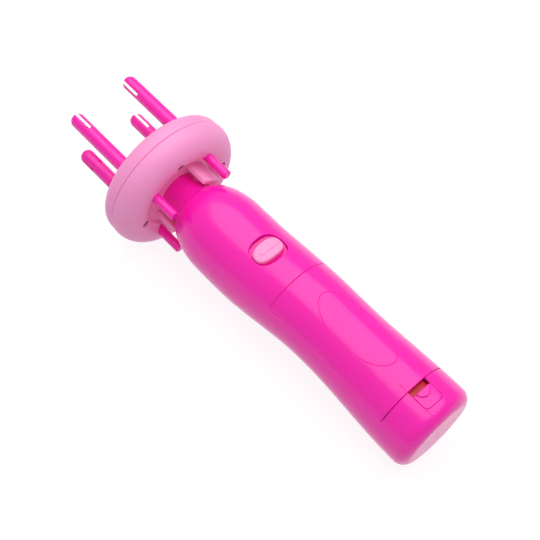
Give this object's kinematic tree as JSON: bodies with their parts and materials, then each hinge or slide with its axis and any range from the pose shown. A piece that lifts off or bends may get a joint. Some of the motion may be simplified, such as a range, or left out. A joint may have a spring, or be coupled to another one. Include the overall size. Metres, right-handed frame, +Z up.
{
  "type": "automatic hair braider",
  "caption": "Battery hand tool with a turning disc head that carries slotted tines, a slide switch, a battery door with a press latch and a gear train inside an arched handle.",
  "frame": {"origin": "on the table, under the middle of the tool as it lies on the rim of its head and the edge of its base", "axes": "+Z up, towards the side of the switch; +Y along the tool towards the tine tips, under its axis, which leans 6.5 degrees up from the base to the head; +X to the right seen from the base"},
  "size_m": [0.076, 0.2449, 0.0758],
  "materials": {
    "hot_pink_plastic": "glossy moulded",
    "pale_pink_plastic": "semi-gloss moulded",
    "ivory_plastic": "plain moulded acetal",
    "black_plastic": "plain moulded",
    "steel": "zinc-plated and rolled",
    "brass": "stamped strip and turned",
    "cell_label": "plain shrunk sleeve"
  },
  "bodies": {
    "handle": {"front_shell": "hot_pink_plastic", "back_shell": "hot_pink_plastic", "neck_collar": "hot_pink_plastic", "shaft_bush": "brass", "gear_plate": "ivory_plastic", "motor_plate": "ivory_plastic", "gear_pins": "steel", "motor_can": "steel", "motor_cap": "ivory_plastic", "slide_switch": "steel", "battery_left": "cell_label", "battery_right": "cell_label", "positive_contact": "brass", "negative_contact": "brass", "bridge_contact": "brass", "contact_spring_left": "steel", "contact_spring_right": "steel", "motor_lead": "brass", "shell_screws": "steel"},
    "head": {"head_front": "pale_pink_plastic", "head_back": "pale_pink_plastic", "cover_screws": "steel", "pawl_ring": "ivory_plastic"},
    "drive": {"drive_shaft": "steel", "output_gear": "ivory_plastic", "sun_gear": "ivory_plastic", "shaft_clip": "steel"},
    "tine_1_turning": {"tine_1": "hot_pink_plastic", "planet_gear_1": "ivory_plastic"},
    "tine_2_turning": {"tine_2": "hot_pink_plastic", "planet_gear_2": "ivory_plastic"},
    "tine_3_turning": {"tine_3": "hot_pink_plastic", "planet_gear_3": "ivory_plastic"},
    "tine_4_turning": {"tine_4": "hot_pink_plastic", "planet_gear_4": "ivory_plastic"},
    "second_gear_turning": {"second_gear": "ivory_plastic"},
    "first_gear_turning": {"first_gear": "ivory_plastic"},
    "motor_rotor": {"motor_pinion": "brass"},
    "switch": {"switch_button": "pale_pink_plastic", "switch_lever": "black_plastic"},
    "door": {"battery_door": "hot_pink_plastic"},
    "latch": {"door_latch": "hot_pink_plastic"}
  },
  "joints": [
    {"name": "head_spin", "type": "hinge", "parent": "handle", "child": "head", "pos_m": [0, 0.06496, 0.03766], "axis": [0, 0.9936, 0.1132], "continuous": true},
    {"name": "drive_spin", "type": "hinge", "parent": "head", "child": "drive", "pos_m": [0, 0.06496, 0.03766], "axis": [0, 0.9936, 0.1132], "continuous": true},
    {"name": "tine_1_spin", "type": "hinge", "parent": "head", "child": "tine_1_turning", "pos_m": [-0.0188, 0.08309, 0.05521], "axis": [0, 0.9936, 0.1132], "continuous": true},
    {"name": "tine_2_spin", "type": "hinge", "parent": "head", "child": "tine_2_turning", "pos_m": [0.01539, 0.0827, 0.0586], "axis": [0, 0.9936, 0.1132], "continuous": true},
    {"name": "tine_3_spin", "type": "hinge", "parent": "head", "child": "tine_3_turning", "pos_m": [0.0188, 0.08657, 0.02463], "axis": [0, 0.9936, 0.1132], "continuous": true},
    {"name": "tine_4_spin", "type": "hinge", "parent": "head", "child": "tine_4_turning", "pos_m": [-0.01539, 0.08696, 0.02124], "axis": [0, 0.9936, 0.1132], "continuous": true},
    {"name": "second_gear_spin", "type": "hinge", "parent": "handle", "child": "second_gear_turning", "pos_m": [-0.01022, 0.02879, 0.03706], "axis": [0, 0.9936, 0.1132], "continuous": true},
    {"name": "first_gear_spin", "type": "hinge", "parent": "handle", "child": "first_gear_turning", "pos_m": [0, 0.02442, 0.04008], "axis": [0, 0.9936, 0.1132], "continuous": true},
    {"name": "motor_spin", "type": "hinge", "parent": "handle", "child": "motor_rotor", "pos_m": [0, 0.02396, 0.02644], "axis": [0, 0.9936, 0.1132], "continuous": true},
    {"name": "switch_slide", "type": "slide", "parent": "handle", "child": "switch", "axis": [0, 0.9936, 0.1132], "range_m": [-0.0024, 0.0024]},
    {"name": "door_swing", "type": "hinge", "parent": "handle", "child": "door", "pos_m": [0, -0.02922, 0.05371], "axis": [-1, 0, 0], "range_deg": [0, 75]},
    {"name": "latch_press", "type": "hinge", "parent": "handle", "child": "latch", "pos_m": [0, -0.1151, 0.04296], "axis": [-1, 0, 0], "range_deg": [0, 8], "stiffness_Nm_per_rad": 0.4}
  ],
  "couplings": [
    {"joint": "tine_1_spin", "follows": "drive_spin", "ratio": -2},
    {"joint": "tine_2_spin", "follows": "drive_spin", "ratio": -2},
    {"joint": "tine_3_spin", "follows": "drive_spin", "ratio": -2},
    {"joint": "tine_4_spin", "follows": "drive_spin", "ratio": -2},
    {"joint": "second_gear_spin", "follows": "drive_spin", "ratio": -3},
    {"joint": "first_gear_spin", "follows": "drive_spin", "ratio": 9},
    {"joint": "motor_spin", "follows": "drive_spin", "ratio": -36}
  ]
}
